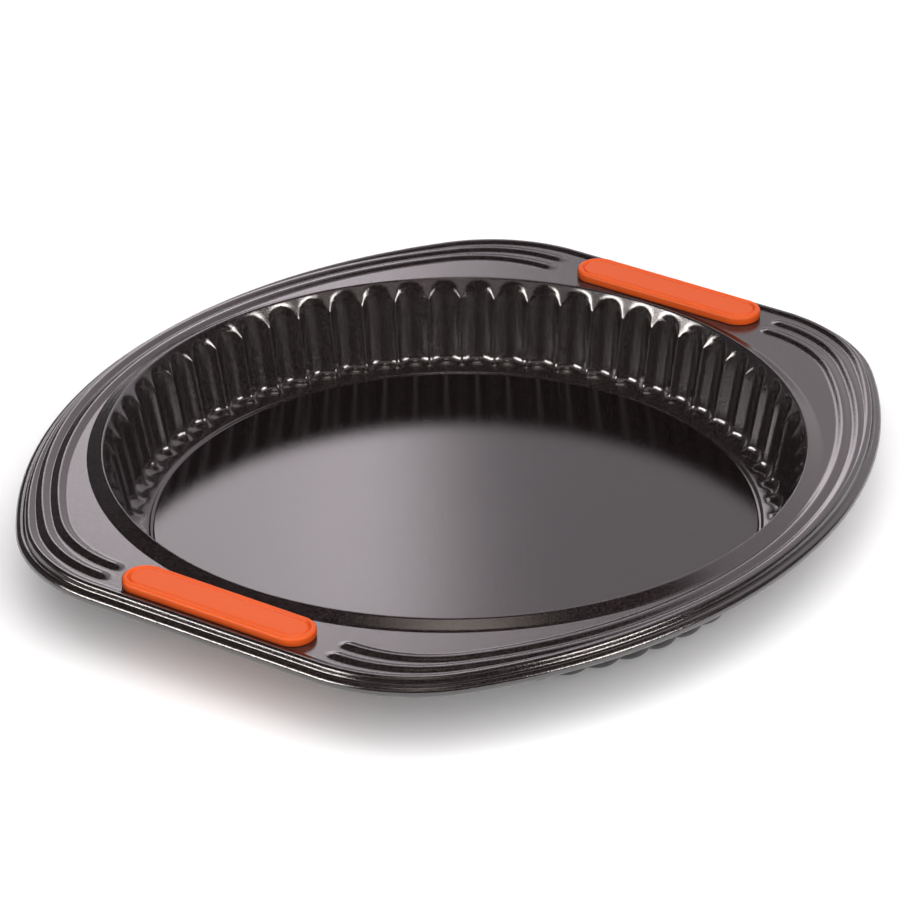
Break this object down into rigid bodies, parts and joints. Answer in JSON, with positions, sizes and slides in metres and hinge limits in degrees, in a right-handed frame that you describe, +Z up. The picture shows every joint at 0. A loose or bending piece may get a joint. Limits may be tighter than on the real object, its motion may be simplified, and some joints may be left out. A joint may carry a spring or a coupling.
{
  "type": "tart pan",
  "caption": "Round fluted tart pan with a wide ribbed flange, rolled rim, two soft grips on the ears and a loose push-up base.",
  "frame": {"origin": "on the resting plane, under the middle of the well", "axes": "+X through the two grip ears (the long way), +Y across them, +Z up out of the well"},
  "size_m": [0.3452, 0.3196, 0.0387],
  "materials": {
    "nonstick_shell": "glossy black non-stick coating with a fine sparkle",
    "nonstick_base": "semi-gloss dark grey non-stick coating",
    "grip_silicone": "satin orange-red silicone",
    "rim_wire": "plain drawn wire, hidden in the rolled rim"
  },
  "bodies": {
    "pan": {"pan_shell": "nonstick_shell", "rim_wire": "rim_wire", "grip_right": "grip_silicone", "grip_left": "grip_silicone"},
    "base": {"loose_base": "nonstick_base"}
  },
  "joints": [
    {"name": "base_lift", "type": "slide", "parent": "pan", "child": "base", "axis": [0, 0, 1], "range_m": [0, 0.06]}
  ]
}
